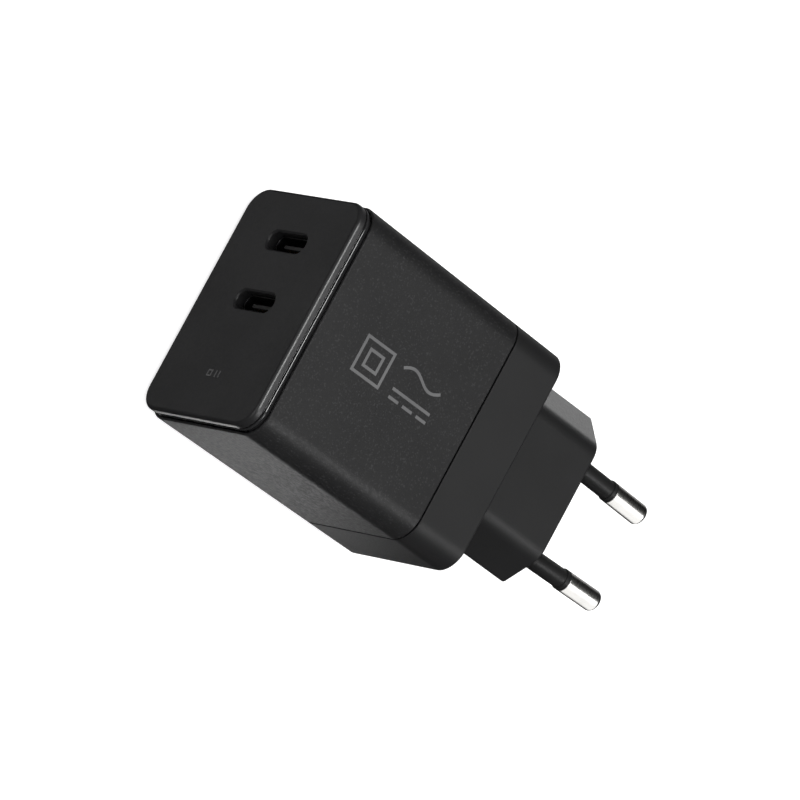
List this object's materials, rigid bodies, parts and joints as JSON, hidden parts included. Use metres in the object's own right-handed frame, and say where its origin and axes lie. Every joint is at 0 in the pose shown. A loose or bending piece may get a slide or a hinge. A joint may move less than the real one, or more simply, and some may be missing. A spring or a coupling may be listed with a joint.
{
  "type": "usb wall charger",
  "caption": "Compact mains charger with a box housing, upright outlet slots in a proud front plate and a fixed round-pin plug on a long nose at the rear.",
  "frame": {"origin": "centre of the plug nose's end face, midway between the pins", "axes": "+X along the pin row, +Y out of the nose with the pins, +Z square to the broad sides"},
  "size_m": [0.0444, 0.0914, 0.034],
  "materials": {
    "chip_black": "moulded",
    "can_sleeve": "plastic sleeve",
    "ferrite": "sintered",
    "enamelled_wire": "enamelled",
    "disc_blue": "coated",
    "film_yellow": "moulded",
    "front_satin": "satin",
    "fuse_brown": "moulded",
    "spreader_aluminium": "sheet",
    "film_clear": "film",
    "lead_copper": "tinned",
    "pin_plating": "nickel plated",
    "sleeve_black": "satin",
    "shell_textured": "fine matte texture",
    "board_green": "solder mask",
    "contact_gold": "gold plated",
    "outlet_black": "moulded",
    "outlet_steel": "dark plated",
    "inductor_grey": "pressed powder",
    "can_bare": "bare can",
    "carrier_grey": "moulded",
    "nose_matte": "smooth matte",
    "rear_smooth": "smooth matte",
    "chip_ceramic": "sintered",
    "pad_soft": "soft",
    "bobbin_black": "moulded",
    "winding_tape": "polyester tape",
    "ring_gloss": "gloss"
  },
  "bodies": {
    "root": {"bridge_rectifier": "chip_black", "bulk_capacitors": "can_sleeve", "choke_core": "ferrite", "choke_windings": "enamelled_wire", "disc_capacitor": "disc_blue", "film_capacitor": "film_yellow", "front_plate": "front_satin", "fuse": "fuse_brown", "heat_spreader": "spreader_aluminium", "insulation_sheet": "film_clear", "left_mains_lead": "lead_copper", "left_pin": "pin_plating", "left_pin_sleeve": "sleeve_black", "main_shell": "shell_textured", "mains_board": "board_green", "optocoupler": "chip_black", "outlet_1_contacts": "contact_gold", "outlet_1_insulator": "outlet_black", "outlet_1_shell": "outlet_steel", "outlet_2_contacts": "contact_gold", "outlet_2_insulator": "outlet_black", "outlet_2_shell": "outlet_steel", "outlet_board": "board_green", "outlet_controllers": "chip_black", "outlet_inductors": "inductor_grey", "output_capacitors": "can_bare", "pin_carrier": "carrier_grey", "plug_nose": "nose_matte", "power_switch": "chip_black", "primary_controller": "chip_black", "rear_shell": "rear_smooth", "right_mains_lead": "lead_copper", "right_pin": "pin_plating", "right_pin_sleeve": "sleeve_black", "small_parts": "chip_ceramic", "synchronous_rectifier": "chip_black", "thermal_pad": "pad_soft", "transformer_bobbin": "bobbin_black", "transformer_core": "ferrite", "transformer_winding": "winding_tape", "trim_ring": "ring_gloss"}
  },
  "joints": []
}
